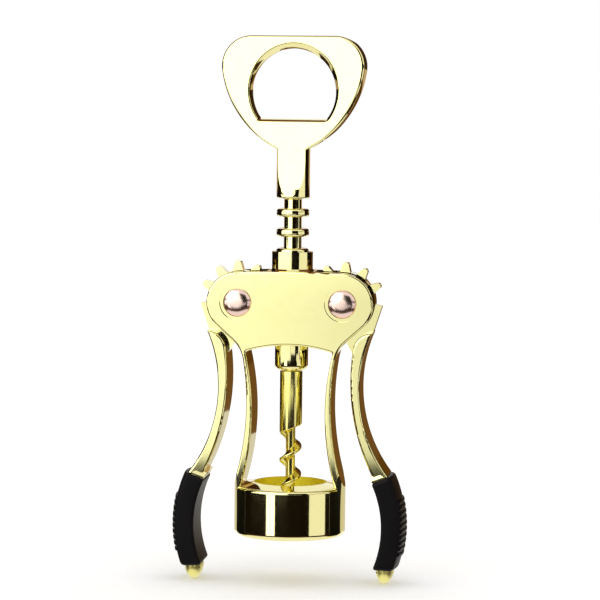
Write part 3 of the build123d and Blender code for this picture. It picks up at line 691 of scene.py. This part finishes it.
ribTree, given = newTree("ribsRoundBend", {
    "Count": "Int", "First": "Float", "Step": "Float", "Centre": "Vector", "Material": "Material"})
index = addNode(ribTree, "GeometryNodeInputIndex")
turn = addNode(ribTree, "ShaderNodeMath", {
    0: index.outputs[0], 1: given["Step"], 2: given["First"]}, operation="MULTIPLY_ADD")
spin = addNode(ribTree, "ShaderNodeCombineXYZ", {1: turn.outputs[0]})
line = addNode(ribTree, "GeometryNodeMeshLine", {
    "Count": given["Count"], "Start Location": given["Centre"], "Offset": (0, 0, 0)}, mode="OFFSET")
copies = addNode(ribTree, "GeometryNodeInstanceOnPoints", {
    "Points": line.outputs[0], "Instance": given["Geometry"], "Rotation": spin.outputs[0]})
closeTree(ribTree, copies.outputs[0], given["Material"])
middleRadius = grip["outerRadius"] + grip["crown"] / 2
lowestRib = ribs["middle"] - (ribs["count"] - 1) / 2 * ribs["pitch"]
rightRibs = grown(ribTree, {         # a turn about -Y lifts a rib
    "Count": ribs["count"], "First": -lowestRib / middleRadius, "Step": -ribs["pitch"] / middleRadius,
    "Centre": (grip["bendX"], 0, grip["bendZ"]), "Material": gripPlastic}, ribShape())
rightGrip = joined(gripShape(), rightRibs)
leftGrip = mirrored(rightGrip)
addPiece("rightGripPad", rightGrip, gripPlastic, "right_wing", ["right_grip"])
addPiece("leftGripPad", leftGrip, gripPlastic, "left_wing", ["left_grip"])
print("stage: grips made")


# End caps: pressed domes, oval in plan, with a short straight rim under the grip
cap = {
    "halfWidth": 3.05 * mm, "halfDepth": 6.8 * mm, "drop": 4.6 * mm, "rim": 0.8 * mm, "shift": 0.4 * mm,
    "sink": 0.25 * mm, "flatShare": 0.97, "topRound": 0.2 * mm, "steps": 64, "rows": 16,
}


def capShape():
    ends = []                        # inner and outer end of the grip's foot
    for side in ("inner", "outer"):
        radius, height = grip[side + "Radius"], grip["foot" + side.capitalize()]
        ends.append(Vector((grip["bendX"] + math.sqrt(radius ** 2 - height ** 2), 0, grip["bendZ"] + height)))
    along = (ends[1] - ends[0]).normalized()
    up = Vector((-along.z, 0, along.x))
    middle = (ends[0] + ends[1]) / 2 + along * cap["shift"]
    outline = [(0, cap["sink"]), (cap["flatShare"], cap["sink"]), (1, cap["sink"] - cap["topRound"]),
               (1, -cap["rim"])]
    for row in range(1, cap["rows"] + 1):
        turn = math.pi / 2 * row / cap["rows"]
        radius = math.cos(turn) if row < cap["rows"] else 0
        outline.append((radius, -cap["rim"] - cap["drop"] * math.sin(turn)))
    shape = turned(outline, cap["steps"], loop=False)
    for vert in shape.verts:         # the unit circle becomes the oval under the grip
        local = vert.co.copy()
        vert.co = middle + along * local.x * cap["halfWidth"] + up * local.z
        vert.co.y += local.y * cap["halfDepth"]
    return shape


rightCap = capShape()
leftCap = mirrored(rightCap)
addPiece("rightCap", rightCap, capGold, "right_wing", ["right_end_cap"])
addPiece("leftCap", leftCap, capGold, "left_wing", ["left_end_cap"])
print("stage: end caps made")


# Camera, at the photograph's viewing angle
view = {
    "azimuth": math.radians(6.5), "elevation": math.radians(4.2), "roll": math.radians(0.62),
    "distance": 940 * mm, "aim": (2.65 * mm, 0.0, 78.2 * mm),
    "frameWidth": 199 * mm,          # width of the picture at the aim
}
outward = Vector((math.sin(view["azimuth"]) * math.cos(view["elevation"]),
                  -math.cos(view["azimuth"]) * math.cos(view["elevation"]), math.sin(view["elevation"])))
lens = bpy.data.cameras.new("camera")
lens.sensor_fit = "HORIZONTAL"
lens.angle = 2 * math.atan(view["frameWidth"] / 2 / view["distance"])
camera = newObject("camera", lens)
camera.matrix_world = (Matrix.Translation(Vector(view["aim"]) + outward * view["distance"])
                       @ outward.to_track_quat("Z", "Y").to_matrix().to_4x4()
                       @ Matrix.Rotation(view["roll"], 4, "Z"))
bpy.context.scene.camera = camera


# Studio: cards stand in a ring and draw the light and dark bands on the plating. A black cloth
# takes the light away, brown is the room behind, white and the softbox are the lamps.
studio = {"radius": 620 * mm, "faceAngle": 4, "worldStrength": 1.0, "cloth": "#150f0a"}
# Name, angles from the camera's side in degrees, lower and upper edge in mm, colour and strength
cards = [
    ("darkLeft", -166, -86, -55, 700, studio["cloth"], 1.0),
    ("darkLeftLow", -128, -49, -124, -55, studio["cloth"], 1.0),
    ("darkFront", -4, 38, 22, 560, studio["cloth"], 1.0),
    ("darkFrontBoss", 24, 48, -24, 22, studio["cloth"], 1.0),
    ("lightFrontBoss", -5, 24, -24, 22, "#ffffff", 1.1),
    ("darkFrontShank", -4, 34, -55, -24, studio["cloth"], 1.0),
    ("darkFrontLow", -31, 40, -124, -55, studio["cloth"], 1.0),
    ("darkRight", 90, 134, -55, 560, studio["cloth"], 1.0),
    ("darkRightLow", 77, 122, -124, -55, studio["cloth"], 1.0),
    ("brownArms", 134, 172, -55, 30, "#6e4c24", 1.0),
    ("brownLegs", 134, 172, 30, 84, "#5c3a12", 1.0),
    ("brownHigh", 134, 172, 140, 560, "#3c2410", 1.0),
    ("paleLeftLow", -180, -128, -124, -55, "#d9d2c0", 1.0),
    ("paleRightLow", 122, 180, -124, -55, "#d9d2c0", 1.0),
    ("backWall", 134, 222, 84, 140, "#c8ab88", 1.0),
    ("tableEdge", -135, 135, -373, -124, "#3a2416", 1.0),
    ("brownShank", 57, 90, -45, -8, "#5a4620", 1.0),
    ("lightLeftLow", -49, -31, -124, -55, "#ffffff", 2.3),
]
softbox = {
    "from": -84, "to": -5, "low": -55 * mm, "high": 1100 * mm, "color": "#fbffff",
    "strengthLow": 1.3, "strengthHigh": 2.35, "riseFrom": 30 * mm, "riseTo": 100 * mm,
    "fadeFrom": -17, "fadeShare": 0.62,      # it fades towards its right edge
}
ceiling = {
    "from": 90, "to": 270, "outerHeight": 560 * mm, "innerRadius": 60 * mm, "innerHeight": 820 * mm,
    "color": "#704634",
}
# Thin cloths before the softbox and the gap beside it draw the outlines of the handle's edges
headEdges = {"closer": 6 * mm, "low": 124 * mm, "high": 215 * mm, "turns": ((-86, -60), (-8, 80))}


# Strip of a cone between two circles; equal radii make an upright card
def addCard(name, material, start, end, low, high):
    steps = max(2, round((end - start) / studio["faceAngle"]))
    points = []
    for index in range(steps + 1):
        turn = view["azimuth"] + math.radians(start + (end - start) * index / steps)
        for radius, height in (low, high):
            points.append((radius * math.sin(turn), -radius * math.cos(turn), height))
    faces = [(2 * i, 2 * i + 1, 2 * i + 3, 2 * i + 2) for i in range(steps)]
    mesh = bpy.data.meshes.new(name)
    mesh.from_pydata(points, [], faces)
    mesh.materials.append(material)
    card = newObject(name, mesh)
    card.visible_camera = card.visible_diffuse = card.visible_shadow = False   # only the plating sees it


def cardMaterial(name, color, strength):
    material, tree = newMaterial(name)
    glow = addNode(tree, "ShaderNodeEmission", {"Color": hexColor(color), "Strength": strength})
    addNode(tree, "ShaderNodeOutputMaterial", {"Surface": glow.outputs[0]})
    return material


for name, start, end, low, high, color, strength in cards:
    addCard(name, cardMaterial(name, color, strength), start, end,
            (studio["radius"], low * mm), (studio["radius"], high * mm))
addCard("darkCeiling", cardMaterial("darkCeiling", ceiling["color"], 1.0), ceiling["from"], ceiling["to"],
        (studio["radius"], ceiling["outerHeight"]), (ceiling["innerRadius"], ceiling["innerHeight"]))
near = studio["radius"] - headEdges["closer"]
for start, end in headEdges["turns"]:
    addCard("headEdge", cardMaterial("headEdge", studio["cloth"], 1.0), start, end,
            (near, headEdges["low"]), (near, headEdges["high"]))

# Softbox: white cloth before a lamp, brighter above and fading towards one side
boxMaterial, tree = newMaterial("softbox")
place = addNode(tree, "ShaderNodeSeparateXYZ", {0: addNode(tree, "ShaderNodeTexCoord").outputs["Object"]})
rise = addNode(tree, "ShaderNodeMapRange", {
    "Value": place.outputs["Z"], "From Min": softbox["riseFrom"], "From Max": softbox["riseTo"],
    "To Min": softbox["strengthLow"], "To Max": softbox["strengthHigh"]}, interpolation_type="SMOOTHSTEP")
front = addNode(tree, "ShaderNodeMath", {0: place.outputs["Y"], 1: -1.0}, operation="MULTIPLY")
turn = addNode(tree, "ShaderNodeMath", {0: place.outputs["X"], 1: front.outputs[0]}, operation="ARCTAN2")
fade = addNode(tree, "ShaderNodeMapRange", {
    "Value": turn.outputs[0], "From Min": view["azimuth"] + math.radians(softbox["fadeFrom"]),
    "From Max": view["azimuth"] + math.radians(softbox["to"]), "To Min": 1.0,
    "To Max": softbox["fadeShare"]})
strength = addNode(tree, "ShaderNodeMath", {0: rise.outputs[0], 1: fade.outputs[0]}, operation="MULTIPLY")
glow = addNode(tree, "ShaderNodeEmission", {
    "Color": hexColor(softbox["color"]), "Strength": strength.outputs[0]})
addNode(tree, "ShaderNodeOutputMaterial", {"Surface": glow.outputs[0]})
addCard("softbox", boxMaterial, softbox["from"], softbox["to"],
        (studio["radius"], softbox["low"]), (studio["radius"], softbox["high"]))

world = bpy.data.worlds.new("whiteStudio")
world.use_nodes = True
world.node_tree.nodes.clear()
light = addNode(world.node_tree, "ShaderNodeBackground", {
    "Color": (1, 1, 1, 1), "Strength": studio["worldStrength"]})
addNode(world.node_tree, "ShaderNodeOutputWorld", {"Surface": light.outputs[0]})
bpy.context.scene.world = world

# Floor: matt white paper with a faint grain, just under the end caps. It keeps the object's
# shadow, glows a little for the camera, and the plating sees the cards through it.
floor = {
    "size": 3000 * mm, "gap": 0.1 * mm, "glow": 0.12,
    "color": "#f6f4f1", "grain": 4 * mm, "grainDetail": 2.0,
}
paperMaterial, tree = newMaterial("whitePaper")
grain = addNode(tree, "ShaderNodeTexNoise", {
    "Vector": addNode(tree, "ShaderNodeTexCoord").outputs["Object"], "Scale": 1 / floor["grain"],
    "Detail": floor["grainDetail"]})
paper = addNode(tree, "ShaderNodeMix", {
    "Factor": grain.outputs["Fac"], 6: hexColor(floor["color"]), 7: (1, 1, 1, 1)}, data_type="RGBA")
matt = addNode(tree, "ShaderNodeBsdfDiffuse", {"Color": paper.outputs[2]})
seen = addNode(tree, "ShaderNodeMath", {
    0: addNode(tree, "ShaderNodeLightPath").outputs["Is Camera Ray"], 1: floor["glow"]}, operation="MULTIPLY")
glow = addNode(tree, "ShaderNodeEmission", {"Strength": seen.outputs[0]})
both = addNode(tree, "ShaderNodeAddShader", {0: matt.outputs[0], 1: glow.outputs[0]})
addNode(tree, "ShaderNodeOutputMaterial", {"Surface": both.outputs[0]})
reach = floor["size"] / 2
height = cadBox[0][2] - floor["gap"]
mesh = bpy.data.meshes.new("floor")
mesh.from_pydata([(x * reach, y * reach, height) for x, y in ((-1, -1), (1, -1), (1, 1), (-1, 1))],
                 [], [(0, 1, 2, 3)])
mesh.materials.append(paperMaterial)
floorObject = newObject("floor", mesh)
floorObject.visible_glossy = floorObject.visible_diffuse = floorObject.visible_shadow = False

bpy.context.scene.view_settings.view_transform = "Standard"
print("stage: studio built")
